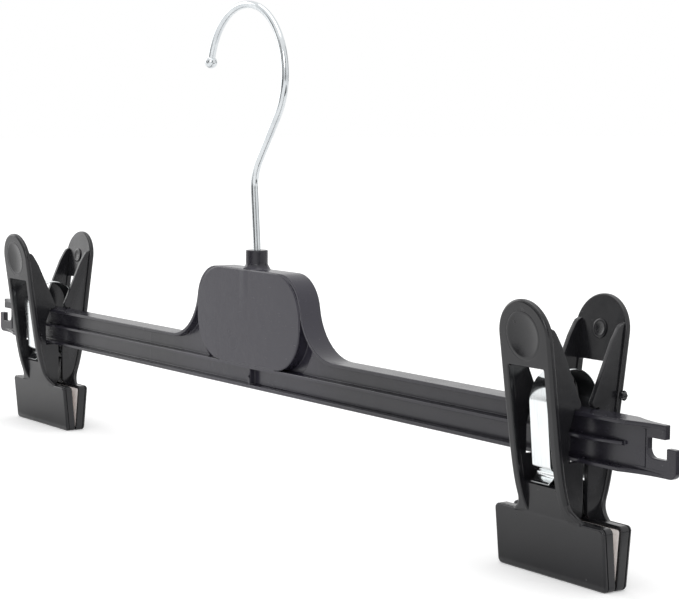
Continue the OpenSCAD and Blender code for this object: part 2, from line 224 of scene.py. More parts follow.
def moulded_black(name, tone, shine, edge_rubbing_and_sheen=0.0, middle_lift=0.0, sinks=(), pips=()):
    """Satin black polypropylene: faint mottling, a fine skin, dust and marks of handling, and, when
    asked, convex edges made lighter, partly from rubbing and partly as a painted highlight.

    Given a share, the middle of the piece, up to the neck, is made lighter by it. A sink is
    (middle, low, high, width, depth) and an ejector pip (middle, height, radius, depth), in
    millimetres.
    """
    s = Shader(name, IOR=1.5)
    here = s.places()
    x, z = s.axis(here, "X"), s.axis(here, "Z")
    cloud = s.noise(here, MOTTLING, 3, 0.55)
    patch = s.noise(here, PATCHES, 2, 0.5)
    grain = s.noise(here, SKIN, 2, 0.6)
    flow = s.noise(s.places(scale=ALONG_FLOW), FLOW_LINES, 3, 0.5)
    dust = s.noise(here, DUST, 1, 0.4).between(0.79, 0.85)
    scuff = s.noise(s.places(scale=ACROSS_ARMS, turn=(0, 0.5, 0)), SCUFFS, 4, 0.7)
    scuff = scuff.between(0.63, 0.8)
    nick = s.cells(here, NICKS).between(0.09, 0.05) * patch.between(0.55, 0.62)

    colour = s.mix(cloud.between(0.3, 0.7), tinted(tone, 0.82), tinted(tone, 1.22))
    # The middle of the piece, up to the neck, made lighter by the given share
    if middle_lift:
        hub = x.math("ABSOLUTE").between(50 * MM, 30 * MM) * z.between(68.5 * MM, 67.5 * MM)
        colour = s.mix(hub, colour, tinted(tone, middle_lift))
    # Convex edges made lighter: partly from rubbing in use, partly a painted highlight along the
    # rounded edges
    if edge_rubbing_and_sheen:
        rubbing_and_sheen = s.node("ShaderNodeNewGeometry", {}, {}, "Pointiness").between(0.53, 0.62)
        colour = s.mix(rubbing_and_sheen * edge_rubbing_and_sheen, colour, RUBBING_AND_SHEEN_GREY)
    s.feed("Base Color", s.mix(dust * 0.22, colour, DUST_GREY))

    rough = (shine + (cloud - 0.5) * 0.1 + (patch - 0.5) * 0.08 + (flow - 0.5) * 0.08
             + scuff * 0.12 + nick * 0.15 + dust * 0.2)
    relief = s.bump(grain, 0.012, 0.55)
    relief = s.bump(flow, 0.03, 0.4, relief)
    relief = s.bump(cloud + patch * 0.25, 0.9, 0.25, relief)
    relief = s.bump(nick, 0.04, 0.7, relief)
    for middle, low, high, width, depth in sinks:
        u = (x - middle * MM) / (width * MM)
        bell = (1 - u * u).math("MAXIMUM", 0)
        relief = s.bump(bell * bell * z.between(low * MM, high * MM), depth, 1.0, relief)
    for middle, height, radius, depth in pips:
        u, v = (x - middle * MM) / (radius * MM), (z - height * MM) / (radius * MM)
        disc = (1 - u * u - v * v).between(0, 1)
        rough = rough + disc * 0.1
        relief = s.bump(disc, depth, 1.0, relief)
    s.feed("Roughness", rough)
    s.feed("Normal", relief)
    return s.material


def plated_steel(name, dull, bright, streak, dark_reflection=None):
    """Bright zinc on drawn steel, with fine draw lines, and a painted dark reflection where an
    attribute says so.
    """
    s = Shader(name, Metallic=1.0)
    here = s.places()
    lines = s.noise(s.places(scale=ALONG_STOCK), DRAW_LINES, 3, 0.6)
    bands = s.noise(s.places(scale=ALONG_STOCK), DRAW_BANDS, 2, 0.5)
    cloud = s.noise(here, STEEL_CLOUDS, 3, 0.6)
    spots = s.noise(here, STEEL_SPOTS, 2, 0.5).between(0.66, 0.78)
    colour = s.mix(cloud.between(0.35, 0.65), dull, bright)
    colour = s.mix(bands.between(0.5, 0.68) * streak, colour, STREAK_GREY)
    colour = s.mix(spots * 0.25, colour, SPOT_GREY)
    rough = 0.12 + (cloud - 0.5) * 0.1 + (lines - 0.5) * 0.06 + spots * 0.12
    # Painted reflection: the inner side of a bent leaf is painted dark grey and made rougher, for
    # the black plastic it would reflect
    if dark_reflection:
        grey = s.node("ShaderNodeAttribute", {"attribute_name": dark_reflection}, {}, "Fac")
        colour = s.mix(grey, colour, DARK_REFLECTION_GREY)
        rough = rough + grey * (0.22 + (cloud - 0.5) * 0.1)
    s.feed("Base Color", colour)
    s.feed("Roughness", rough)
    s.feed("Normal", s.bump(lines, 0.008, 0.4))
    return s.material


def soft_liner(name):
    """Matt pale foam rubber with open pores, painted darker inside as shade."""
    s = Shader(name, IOR=1.45)
    here = s.places()
    cloud = s.noise(here, FOAM_CLOUDS, 3, 0.6)
    pores = s.cells(here, FOAM_PORES)
    colour = s.mix(cloud.between(0.3, 0.7), FOAM_DEEP, FOAM_PALE)
    # Painted shade: the open pores are coloured darker towards their middles
    s.feed("Base Color", s.mix(pores.between(0.35, 0.1) * 0.35, colour, PORE_SHADE_BROWN))
    s.feed("Roughness", 0.86 + (cloud - 0.5) * 0.1)
    s.feed("Normal", s.bump(pores, 0.08, 0.6))
    return s.material


BAR_BLACK = moulded_black("bar_black", (0.0145, 0.0135, 0.0195), 0.24, middle_lift=1.9,
                          sinks=[(-1.5, 52, 68, 2.8, 0.1), (-64, 31, 32, 0.7, 0.03)],
                          pips=[(-7.7, 43.9, 2.6, 0.012)])
CLIP_BLACK = moulded_black("clip_black", (0.0085, 0.0085, 0.0102), 0.22, edge_rubbing_and_sheen=0.1)
WIRE_STEEL = plated_steel("wire_zinc", rgb(0.6, 0.63, 0.65), rgb(0.71, 0.74, 0.755), 0.14)
# The inner side of each leaf carries a painted dark reflection
LEAF_STEEL = plated_steel("leaf_zinc", rgb(0.85, 0.885, 0.895), rgb(0.92, 0.945, 0.95), 0.1,
                          dark_reflection="inside")
LINER_FOAM = soft_liner("liner_foam")


# ---------------------------------------------------------------- studio

def staged_card(name, material, place, facing, size):
    """Flat card of the studio, which isn't part of the hanger."""
    turn = Vector(facing).to_track_quat("Z", "Y").to_matrix()
    mesh = bpy.data.meshes.new(name)
    w, h = size[0] / 2, size[1] / 2
    corners = [Vector(place) + turn @ Vector((x, y, 0))
               for x, y in ((-w, -h), (w, -h), (w, h), (-w, h))]
    mesh.from_pydata(corners, [], [(0, 1, 2, 3)])
    mesh.materials.append(material)
    card = bpy.data.objects.new(name, mesh)
    bpy.context.scene.collection.objects.link(card)
    return card


def gloss_card(name, material, place, facing, size):
    """Card that is seen in the gloss of the hanger alone."""
    card = staged_card(name, material, place, facing, size)
    card.visible_camera = False
    card.visible_diffuse = False
    card.visible_shadow = False
    card.visible_transmission = False


def build_world():
    """White world, which lights the hanger with a little less than white."""
    world = bpy.data.worlds.new("studio")
    bpy.context.scene.world = world
    world.use_nodes = True
    nodes = Nodes(world.node_tree)
    camera_ray, glossy_ray, clear_ray = (
        nodes.node("ShaderNodeLightPath", {}, {}, kind)
        for kind in ("Is Camera Ray", "Is Glossy Ray", "Is Transmission Ray"))
    seen = camera_ray.math("MAXIMUM", glossy_ray).math("MAXIMUM", clear_ray)
    level = nodes.node("ShaderNodeMapRange", {}, {"Value": seen, "To Min": 0.8, "To Max": 1.0})
    white = nodes.node("ShaderNodeBackground", {}, {"Color": rgb(1, 1, 1), "Strength": level})
    output = nodes.tree.nodes.new("ShaderNodeOutputWorld")
    nodes.set(output.inputs[0], white)


def build_floor():
    """White floor, lifted to white for the camera, which keeps the hanger's shadow."""
    s = Shader("studio_floor", Roughness=0.9, Specular_IOR_Level=0.0, Emission_Strength=1.0)
    s.feed("Base Color", rgb(0.9, 0.9, 0.9))
    camera_ray = s.node("ShaderNodeLightPath", {}, {}, "Is Camera Ray")
    glossy_ray = s.node("ShaderNodeLightPath", {}, {}, "Is Glossy Ray")
    glow = s.mix(glossy_ray, rgb(0, 0, 0), rgb(0.12, 0.12, 0.12))
    reach = s.node("ShaderNodeVectorMath", {"operation": "LENGTH"}, {0: s.places()}, "Value")
    lift = s.mix(reach.between(0.2, 0.6), rgb(0.21, 0.21, 0.21), rgb(0.42, 0.42, 0.42))
    s.feed("Emission Color", s.mix(camera_ray, glow, lift))
    staged_card("studio_floor", s.material, (0, 0, 0), (0, 0, 1), (12, 12))


def build_flags():
    """Dark cloths that give the gloss of the hanger its dark bands."""
    s = Shader("flag_cloth", Roughness=0.95, Specular_IOR_Level=0.0)
    weave = s.noise(s.places(), 900, 2, 0.5)
    s.feed("Base Color", s.mix(weave, rgb(0.1, 0.1, 0.1), rgb(0.16, 0.16, 0.16)))

    def standing(name, degrees, distance, height, size):
        """Flag at a bearing from the middle of the hanger, facing it."""
        a = math.radians(degrees)
        place = (distance * math.cos(a), distance * math.sin(a), height)
        gloss_card(name, s.material, place, (-math.cos(a), -math.sin(a), 0), size)

    standing("front_flag", 236, 1.3, 0.36, (0.42, 0.8))
    standing("back_flag", 78, 1.3, 0.36, (0.4, 0.8))
    gloss_card("low_flag", s.material, (0.32, 0.15, 0.002), (0, 0, 1), (0.22, 0.26))
    standing("near_flag", 272, 0.8, 0.28, (0.3, 0.56))
    standing("lens_flag", 330, 0.8, 0.28, (0.12, 0.56))
    standing("side_flag", 350, 0.8, 0.28, (0.22, 0.56))
    gloss_card("thumb_flag", s.material, (-0.105, -0.377, 0.06), (0.56, 0.83, 0), (0.11, 0.12))


def build_foot_shade():
    """Painted shadow: a dark card on the floor in front of the jaws, seen only in their gloss,
    darker towards them, in place of the shadow at their feet.
    """
    s = Shader("painted_foot_shadow", Roughness=0.95, Specular_IOR_Level=0.0)
    s.feed("Base Color", rgb(0.03, 0.03, 0.03))
    # Painted shadow: more opaque towards the jaws
    s.feed("Alpha", s.axis(s.places(), "Y").between(-0.035, -0.004) * 0.42)
    gloss_card("foot_shade", s.material, (0, -0.0405, 0.0008), (0, 0, 1), (0.6, 0.071))


def softbox(name, place, aim, size, watts):
    data = bpy.data.lights.new(name, "AREA")
    data.shape = "RECTANGLE"
    data.size, data.size_y = size
    data.energy = watts
    light = bpy.data.objects.new(name, data)
    bpy.context.scene.collection.objects.link(light)
    light.location = place
    light.rotation_euler = (Vector(aim) - Vector(place)).to_track_quat("-Z", "Y").to_euler()


build_world()
build_floor()
build_flags()
build_foot_shade()
softbox("overhead_softbox", (0.0, 0.0, 1.1), (0, 0, 0.05), (1.3, 0.7), 4.0)
softbox("left_softbox", (-1.2, -0.35, 0.5), (0, 0, 0.06), (0.7, 0.9), 2.6)
softbox("front_softbox", (0.95, -0.75, 0.55), (0.05, 0, 0.06), (0.34, 0.45), 2.0)


# ---------------------------------------------------------------- mesh helpers

def closed_loft(rings):
    """Solid through rings of points in millimetres, all with the same count, with flat ends."""
    bm = bmesh.new()
    loops = [[bm.verts.new(Vector(p) * MM) for p in ring] for ring in rings]
    count = len(rings[0])
    for low, high in zip(loops, loops[1:]):
        for i in range(count):
            j = (i + 1) % count
            bm.faces.new((low[i], low[j], high[j], high[i]))
    bm.faces.new(list(reversed(loops[0])))
    bm.faces.new(loops[-1])
    bmesh.ops.recalc_face_normals(bm, faces=bm.faces)
    return bm


def lathe(profile, centre, out, steps=72):
    """Solid turned about the line through centre along out, from (radius, height) pairs."""
    out = Vector(out).normalized()
    across = Vector((1, 0, 0))
    up = out.cross(across).normalized()
    rings = []
    for radius, height in profile:
        ring = []
        for i in range(steps):
            a = 2 * math.pi * i / steps
            spoke = math.cos(a) * across + math.sin(a) * up
            ring.append(Vector(centre) + out * height + radius * spoke)
        rings.append(ring)
    return closed_loft(rings)


def inset(loop, by):
    """Flat closed loop of (x, z) pairs, counterclockwise, drawn in by a distance."""
    moved = []
    count = len(loop)
    for i in range(count):
        before = Vector(loop[i]) - Vector(loop[i - 1])
        after = Vector(loop[(i + 1) % count]) - Vector(loop[i])
        n0 = Vector((-before.y, before.x)).normalized()
        n1 = Vector((-after.y, after.x)).normalized()
        n = (n0 + n1).normalized()
        moved.append(Vector(loop[i]) + n * (by / max(0.35, n.dot(n1))))
    return [(p.x, p.y) for p in moved]


def round_rectangle(x0, z0, x1, z1, r, steps=8):
    """Counterclockwise loop of (x, z) pairs with round corners."""
    loop = []
    for cx, cz, start in ((x1 - r, z0 + r, -90), (x1 - r, z1 - r, 0),
                          (x0 + r, z1 - r, 90), (x0 + r, z0 + r, 180)):
        for i in range(steps + 1):
            a = math.radians(start + 90 * i / steps)
            loop.append((cx + r * math.cos(a), cz + r * math.sin(a)))
    return loop


def rounding(r, steps=4):
    """(inset, depth) pairs of a quarter round, from the face down to the side."""
    quarter = math.pi / 2
    return [(r - r * math.sin(quarter * i / steps), r - r * math.cos(quarter * i / steps))
            for i in range(steps + 1)]


def as_object(name, bm):
    mesh = bpy.data.meshes.new(name)
    bm.to_mesh(mesh)
    bm.free()
    obj = bpy.data.objects.new(name, mesh)
    bpy.context.scene.collection.objects.link(obj)
    return obj


def evaluated(obj):
    """The object's mesh with its modifiers worked out, in a new plain mesh."""
    bpy.context.view_layer.update()
    graph = bpy.context.evaluated_depsgraph_get()
    return bpy.data.meshes.new_from_object(obj.evaluated_get(graph), depsgraph=graph)


def discard(obj):
    """Removes an object and its mesh."""
    mesh = obj.data
    bpy.data.objects.remove(obj)
    bpy.data.meshes.remove(mesh)


def settle(obj):
    """Works the modifiers of a piece into its mesh."""
    mesh = evaluated(obj)
    obj.modifiers.clear()
    old, name = obj.data, obj.data.name
    obj.data = mesh
    bpy.data.meshes.remove(old)
    mesh.name = name
    return obj


def combine(obj, bm, operation):
    """Adds a solid to a piece, or cuts it out."""
    tool = as_object(obj.name + "_tool", bm)
    modifier = obj.modifiers.new("combine", "BOOLEAN")
    modifier.operation = operation
    modifier.solver = "MANIFOLD"
    modifier.object = tool
    settle(obj)
    discard(tool)


def solid_of(obj):
    bm = bmesh.new()
    bm.from_mesh(obj.data)
    return bm


def soft_edges(bm, width, angle=28, steps=2, pick=None, clamp=True):
    """Rounds the edges of a solid that are sharper than the angle."""
    limit = math.radians(angle)
    edges = [e for e in bm.edges if len(e.link_faces) == 2 and e.calc_face_angle(0) > limit
             and (pick is None or pick(e))]
    bmesh.ops.bevel(bm, geom=edges, offset=width * MM, segments=steps, profile=0.5,
                    affect="EDGES", clamp_overlap=clamp)
    return bm


def smooth(obj, angle=32):
    """Smooth shading that keeps flat faces flat and creases crisp."""
    mesh = obj.data
    mesh.polygons.foreach_set("use_smooth", [True] * len(mesh.polygons))
    mesh.set_sharp_from_angle(angle=math.radians(angle))
    weighted = obj.modifiers.new("weighted", "WEIGHTED_NORMAL")
    weighted.keep_sharp = True
    weighted.weight = 80
    return settle(obj)


def finish(obj, material, slot, body, *nodes):
    """Gives a piece its material and its body, and puts it in place of CAD nodes."""
    obj.data.materials.clear()
    obj.data.materials.append(material)
    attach(obj, body)
    if nodes:
        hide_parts(*nodes)


# ---------------------------------------------------------------- sizes, in millimetres

# Jaws and liners
JAW_W, JAW_H, JAW_R = 40.6, 15.9, 1.4
LIP_GAP, THROAT = 0.12, 1.45
JAW_LIP_Y, JAW_TOP_Y = 3.52, 5.0
LINER_T, LINER_MARGIN, SEAT_R = 0.8, 0.9, 0.7

# Arms, their thumb pads, windows and plates
ARM_TOP, ARM_W, WAIST_W, ARM_T = 70.5, 18.8, 18.2, 1.9
ARM_SLOPE, HEEL, HEEL_H = 0.13, 2.8, 5.2
WINDOW_W, WINDOW_Z0, WINDOW_Z1 = 13.3, 24.0, 53.7
PLATE_T, PLATE_SLOPE = 1.8, 0.19
PLATE_Y = JAW_TOP_Y + PLATE_SLOPE * (WINDOW_Z0 - JAW_H)
PAD_Z = ARM_TOP - ARM_W / 2
DIMPLE_R, DIMPLE_DEEP, DIMPLE_Z = 5.7, 0.7, PAD_Z + 0.4

# Wings, with the round noses that they rock on
WING_T, WING_INSET, WING_TOP = 1.5, 0.5, 63.5
PIVOT_Y, PIVOT_Z, PIVOT_R = 3.0, 44.55, 1.2
LOWER_Z, WING_GAP, ROOM_Y = 30.52, 0.75, 5.7

# Torn gate on the side of one arm
GATE, GATE_R = (9.75, 10.9, 46), 1.15

# Leaf springs: the strip, its arch and the height of its curled foot
LEAF_W, LEAF_T, LEAF_EDGE, ARCH_R, ARCH_Z, CURL_Z = 6.8, 0.5, 0.2, 8.4, 44.4, 28.4

# Hook
WIRE_D, BALL_R, NECK_TOP, BEARING_Z = 2.3, 1.95, 73.0, 56.5
SHANK, SHANK_LEAN, BEND_START = 17.0, 4.8, 1.6
CROOK_R, HOOK_R, HOOK_X, HOOK_RISE, HOOK_END = 14.0, 21.3, -6.0, 53.5, 169.0

# Bar: its web and top, the panel on its hub, the short rib with its blind hole, the pockets
BAR_Z, BAR_TOP = 30.6, 43.2
PANEL_X, PANEL_LOW, PANEL_HIGH, PANEL_R = 29, 37.7, 67.1, 13.4
PANEL_Y, PANEL_ROOT_Y, FLANGE_Y, PANEL_ROOM = -3.9, -3.0, -3.61, 0.6
STUB_HALF_W, STUB_HIGH, STUB_Y, HOLE_Z = 0.56, 36.7, -2.8, 34.1
POCKET_NEAR, POCKET_FAR, POCKET_LOW, POCKET_HIGH = 15.3, 9.95, 32.2, 41.6


# ---------------------------------------------------------------- geometry recipes

class Recipe:
    """A Geometry Nodes tree under construction, with named sizes."""

    def __init__(self, name, **sizes):
        self.tree = bpy.data.node_groups.new(name, "GeometryNodeTree")
        self.tree.is_modifier = True
        face = self.tree.interface
        face.new_socket("Geometry", in_out="INPUT", socket_type="NodeSocketGeometry")
        self.identifiers, self.labels = {}, {}
        for key, value in sizes.items():
            self.labels[key] = key.replace("_", " ").capitalize()
            kind = "NodeSocketInt" if isinstance(value, int) else "NodeSocketFloat"
            socket = face.new_socket(self.labels[key], in_out="INPUT", socket_type=kind)
            socket.default_value = value
            self.identifiers[key] = socket.identifier
        face.new_socket("Geometry", in_out="OUTPUT", socket_type="NodeSocketGeometry")
        self.start = self.tree.nodes.new("NodeGroupInput")

    def size(self, key):
        return self.start.outputs[self.labels[key]]

    def node(self, kind, settings, inputs, output=0):
        node = self.tree.nodes.new(kind)
        for key, value in settings.items():
            setattr(node, key, value)
        for key, value in inputs.items():
            if isinstance(value, bpy.types.NodeSocket):
                self.tree.links.new(value, node.inputs[key])
            else:
                node.inputs[key].default_value = value
        return node.outputs[output]

    def close(self, geometry, material):
        whole = self.node("GeometryNodeRealizeInstances", {}, {"Geometry": geometry})
        dressed = self.node("GeometryNodeSetMaterial", {}, {
            "Geometry": whole, "Material": material})
        end = self.tree.nodes.new("NodeGroupOutput")
        self.tree.links.new(dressed, end.inputs["Geometry"])

    def make(self, name, points, girths=None, **sizes):
        """Plain piece from the path through points in millimetres."""
        mesh = bpy.data.meshes.new(name)
        steps = [(i, i + 1) for i in range(len(points) - 1)]
        mesh.from_pydata([Vector(p) * MM for p in points], steps, [])
        if girths:
            girth = mesh.attributes.new("girth", "FLOAT", "POINT")
            girth.data.foreach_set("value", girths)
        obj = bpy.data.objects.new(name, mesh)
        bpy.context.scene.collection.objects.link(obj)
        modifier = obj.modifiers.new("recipe", "NODES")
        modifier.node_group = self.tree
        for key, value in sizes.items():
            modifier[self.identifiers[key]] = value
        return settle(obj)


def wire_recipe():
    """Round wire along a path, as thick at each point as the path says."""
    r = Recipe("drawn_wire", wire_diameter=WIRE_D * MM, sides=32)
    curve = r.node("GeometryNodeMeshToCurve", {}, {"Mesh": r.start.outputs["Geometry"]})
    radius = r.node("ShaderNodeMath", {"operation": "MULTIPLY"}, {
        0: r.size("wire_diameter"), 1: 0.5})
    ring = r.node("GeometryNodeCurvePrimitiveCircle", {}, {
        "Resolution": r.size("sides"), "Radius": radius})
    girth = r.node("GeometryNodeInputNamedAttribute", {"data_type": "FLOAT"}, {"Name": "girth"})
    tube = r.node("GeometryNodeCurveToMesh", {}, {
        "Curve": curve, "Profile Curve": ring, "Scale": girth, "Fill Caps": True})
    r.close(tube, WIRE_STEEL)
    return r


def leaf_recipe():
    """Flat strip with round edges along a path in a plane across X."""
    r = Recipe("bent_leaf", leaf_width=LEAF_W * MM, leaf_thickness=LEAF_T * MM,
               edge_radius=LEAF_EDGE * MM)
    curve = r.node("GeometryNodeMeshToCurve", {}, {"Mesh": r.start.outputs["Geometry"]})
    level = r.node("GeometryNodeSetCurveNormal", {"mode": "FREE"}, {
        "Curve": curve, "Normal": (1, 0, 0)})
    box = r.node("GeometryNodeCurvePrimitiveQuadrilateral", {"mode": "RECTANGLE"}, {
        "Width": r.size("leaf_width"), "Height": r.size("leaf_thickness")})
    edge = r.node("GeometryNodeFilletCurve", {"mode": "POLY"}, {
        "Curve": box, "Count": 4, "Radius": r.size("edge_radius"), "Limit Radius": True})
    strip = r.node("GeometryNodeCurveToMesh", {}, {
        "Curve": level, "Profile Curve": edge, "Fill Caps": True})
    r.close(strip, LEAF_STEEL)
    return r


# ---------------------------------------------------------------- hook

def bend(start, corner, stop, t):
    """Point at share t of the curve that turns the corner from start to stop."""
    return start * (1 - t) ** 2 + 2 * t * (1 - t) * corner + stop * t * t


def polar(centre, radius, degrees):
    a = math.radians(degrees)
    return Vector((centre[0] + radius * math.cos(a), centre[1] + radius * math.sin(a)))


def arc(centre, radius, first, last, steps, skip=0):
    """Points of an arc between two angles in degrees, without the first of them if skipped."""
    return [polar(centre, radius, first + (last - first) * i / steps)
            for i in range(skip, steps + 1)]


def hook_path():
    """Points of the middle of the wire, from the head in the hub to the ball, and its girths.

    A girth is the thickness there as a multiple of the wire's.
    """
    tilt = math.radians(SHANK_LEAN)
    along = Vector((-math.sin(tilt), math.cos(tilt)))
    foot = Vector((0, NECK_TOP + 1))
    hook_c = Vector((HOOK_X, NECK_TOP + HOOK_RISE))
    crook_c = foot + SHANK * along + CROOK_R * Vector((math.cos(tilt), math.sin(tilt)))
    span = hook_c - crook_c
    turned = math.asin((HOOK_R + CROOK_R) / span.length)
    climb = math.degrees(math.atan2(span.y, span.x) - turned)

    head = BEARING_Z - 0.15 - 1.4
    path = [(Vector((0, head + rise)), girth) for rise, girth in (
        (0, 1.6), (0.15, 1.87), (0.3, 1.91), (1.1, 1.91), (1.3, 1.8), (1.4, 1.0))]
    neck_low, neck_high = head + 1.4, foot.y - BEND_START
    wire = [Vector((0, neck_low + (neck_high - neck_low) * i / 8)) for i in range(1, 9)]
    wire += [bend(wire[-1], foot, foot + BEND_START * along, i / 6) for i in range(1, 6)]
    wire += [foot + along * (BEND_START + (SHANK - BEND_START) * i / 8) for i in range(9)]
    wire += arc(crook_c, CROOK_R, 180 + SHANK_LEAN, climb + 90, 16, skip=1)
    straight, hook_start = wire[-1], polar(hook_c, HOOK_R, climb - 90)
    wire += [straight.lerp(hook_start, i / 4) for i in range(1, 4)]
    wire += arc(hook_c, HOOK_R, climb - 90, HOOK_END, 72)

    tip = wire.pop()
    end = math.radians(HOOK_END)
    ahead = Vector((-math.sin(end), math.cos(end)))
    neck = math.sqrt(BALL_R ** 2 - (WIRE_D / 2) ** 2)
    path += [(p, 1.0) for p in wire if (p - tip).length > neck + 0.15]
    first = math.asin(-neck / BALL_R)
    for i in range(15):
        a = first + (math.pi / 2 - first) * i / 14
        girth = max(0.12, BALL_R * math.cos(a) / (WIRE_D / 2))
        path.append((tip + ahead * BALL_R * math.sin(a), girth))
    return [(p.x, 0, p.y) for p, girth in path], [girth for p, girth in path]


def make_hook():
    points, girths = hook_path()
    hook = wire_recipe().make("wire_hook", points, girths, wire_diameter=WIRE_D * MM)
    smooth(hook, 50)
    finish(hook, WIRE_STEEL, "hook_steel", "hook", "hook")


# ---------------------------------------------------------------- leaf springs

def rounded_path(corners, radii, steps=6):
    """Path through corners in (y, z), each turned with a curve of about its radius."""
    path = [corners[0]]
    for before, corner, after, r in zip(corners, corners[1:], corners[2:], radii):
        reach0 = min(r, (before - corner).length * 0.48)
        reach1 = min(r, (after - corner).length * 0.48)
        start = corner + (before - corner).normalized() * reach0
        stop = corner + (after - corner).normalized() * reach1
        path += [bend(start, corner, stop, i / steps) for i in range(steps + 1)]
    path.append(corners[-1])
    return path


def mark_inside(mesh, path, sign):
    """Attribute that is 1 on the inner side of a bent leaf, whose path is given in Y and Z, where
    the painted dark reflection goes.
    """
    middles = [(p + q) / 2 for p, q in zip(path, path[1:])]
    values = []
    for vert in mesh.vertices:
        here = Vector((sign * vert.co.y, vert.co.z)) / MM
        i = min(range(len(middles)), key=lambda k: (middles[k] - here).length_squared)
        along, off = path[i + 1] - path[i], here - path[i]
        side = (along.x * off.y - along.y * off.x) / along.length
        values.append(min(1.0, max(0.0, 0.5 - 4 * side)))
    mesh.attributes.new("inside", "FLOAT", "POINT").data.foreach_set("value", values)


def leaf_path():
    """Middle of one half of a leaf in Y and Z, from the top of its arch to the lip of its foot."""
    mid = ARCH_R - LEAF_T / 2
    path = []
    for i in range(31):
        a = math.radians(3.0 * i)
        path.append(Vector((mid * math.sin(a), ARCH_Z + mid * math.cos(a))))
    foot = Vector((6.75, CURL_Z))
    inner = foot + Vector((-1.6, -1.2))
    lower = inner + Vector((0.1, -1.3))
    lip = Vector((PLATE_Y + 0.75, WINDOW_Z0 + 0.35))
    leg = [path[-1].lerp(foot, i / 8) for i in range(8)]
    path += leg[1:-1]
    return path + rounded_path([leg[-1], foot, inner, lower, lip], [0.7, 0.75, 0.75])


def make_springs():
    """Two leaves, each in a front and a rear piece."""
    leaf = leaf_recipe()
    half = leaf_path()
    for side, x in CLIP_X.items():
        for face, sign in (("front", -1), ("rear", 1)):
            points = [(x / MM, sign * p.x, p.y) for p in half]
            piece = leaf.make(side + "_" + face + "_leaf", points, leaf_width=LEAF_W * MM)
            smooth(piece, 50)
            mark_inside(piece.data, half, sign)
            piece.data.materials.clear()
            piece.data.materials.append(LEAF_STEEL)
            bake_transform(piece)
            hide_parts(side + "_spring")


# ---------------------------------------------------------------- liners

def bite(z, deep=0.0):
    """Inner face of a closed jaw at height z, moved outwards."""
    return LIP_GAP + (THROAT - LIP_GAP) * z / JAW_H + deep


def liner_mesh():
    """Soft pad in the seat of a rear jaw, a little crowned."""
    z0, z1 = LINER_MARGIN, JAW_H - LINER_MARGIN
    hw = JAW_W / 2 - LINER_MARGIN
    loop = round_rectangle(-hw, z0, hw, z1, SEAT_R, 5)
    rings = [[(px, bite(pz, LINER_T), pz) for px, pz in loop]]
    for by, deep in reversed(rounding(0.35, 4)):
        rings.append([(px, bite(pz, deep), pz) for px, pz in inset(loop, by)])
    for by in (0.9, 1.8, 3.2, 5.0):
        ring = []
        for px, pz in inset(loop, 0.35):
            sx = (hw - by) / hw
            mid = (z0 + z1) / 2
            sz = max(0.05, (mid - z0 - by) / (mid - z0))
            qx, qz = px * sx, mid + (pz - mid) * sz
            crown = (0.05 + 0.28 * (qz - z0) / (z1 - z0)) * (1 - sz ** 2)
            ring.append((qx, bite(qz) - crown, qz))
        rings.append(ring)
    return closed_loft(rings)


def to_clip(turn, x):
    """Turn and shift that put a rear part of a clip in its place."""
    return Matrix.Translation((x, 0, 0)) @ Matrix.Rotation(turn, 4, "Z")


def make_liners():
    for side, x in CLIP_X.items():
        for face, turn in (("front", math.pi), ("rear", 0.0)):
            name = side + "_" + face
            bm = liner_mesh()
            bm.transform(to_clip(turn, x))
            pad = as_object(name + "_liner_pad", bm)
            smooth(pad, 60)
            finish(pad, LINER_FOAM, "liner_soft", name, name + "_liner")


# ---------------------------------------------------------------- clip halves

def arm_y(z):
    """Outer face of a rear arm at height z, and of the jaw below it."""
    if z < JAW_H:
        return JAW_LIP_Y + (JAW_TOP_Y - JAW_LIP_Y) * z / JAW_H
    return JAW_TOP_Y + HEEL * (1 - math.exp((JAW_H - z) / HEEL_H)) + ARM_SLOPE * (z - JAW_H)


def arm_half(z):
    """Half width of an arm at height z."""
    if z < JAW_H + 5:
        return WAIST_W / 2 + 4 * ((JAW_H + 5 - z) / 5) ** 2.5
    return min(ARM_W, WAIST_W + (ARM_W - WAIST_W) * max(0, z - 28) / (PAD_Z - 28)) / 2


def bent_plate(loop, levels):
    """Plate with the outline loop, bent to the face of the arm.

    The levels are (inset, depth) pairs from outside in.
    """
    bm = closed_loft([[(px, -deep, pz) for px, pz in inset(loop, by)] for by, deep in levels])
    heights = [JAW_H - 0.5, JAW_H] + [JAW_H + 0.75 * i for i in range(1, 15)]
    heights += [28, 30, 33, 37, 42, 48, 54, 60, 66]
    for z in heights:
        bmesh.ops.bisect_plane(bm, geom=bm.verts[:] + bm.edges[:] + bm.faces[:], dist=1e-7,
                               plane_co=(0, 0, z * MM), plane_no=(0, 0, 1))
    for vert in bm.verts:
        vert.co.y += (arm_y(vert.co.z / MM) - 0.015) * MM
    return bm


def arm_outline():
    zs = [JAW_H - 1.3] + [JAW_H - 0.6 + 0.45 * i for i in range(13)] + [24, 28, 36, 45, 53]
    right = [(arm_half(max(z, JAW_H - 0.2)), z) for z in zs]
    pad = [(ARM_W / 2 * math.cos(a), PAD_Z + ARM_W / 2 * math.sin(a))
           for a in (math.pi * i / 64 for i in range(65))]
    left = [(-x, z) for x, z in reversed(right)]
    return right + pad + left


def jaw_solid():
    """Jaw block with round corners, a rounded face and the parting groove behind the face."""
    loop = round_rectangle(-JAW_W / 2, 0, JAW_W / 2, JAW_H, JAW_R, 8)
    groove = [(0, 0.78), (0.26, 0.86), (0.3, 0.98), (0.26, 1.1), (0.04, 1.2), (0.0, 1.3)]
    rings = [[(px, arm_y(pz) - deep, pz) for px, pz in inset(loop, by)]
             for by, deep in rounding(0.65, 5) + groove]
    for by, deep in reversed(rounding(0.35, 3)):
        rings.append([(px, bite(pz, deep), pz) for px, pz in inset(loop, by)])
    return closed_loft(rings)


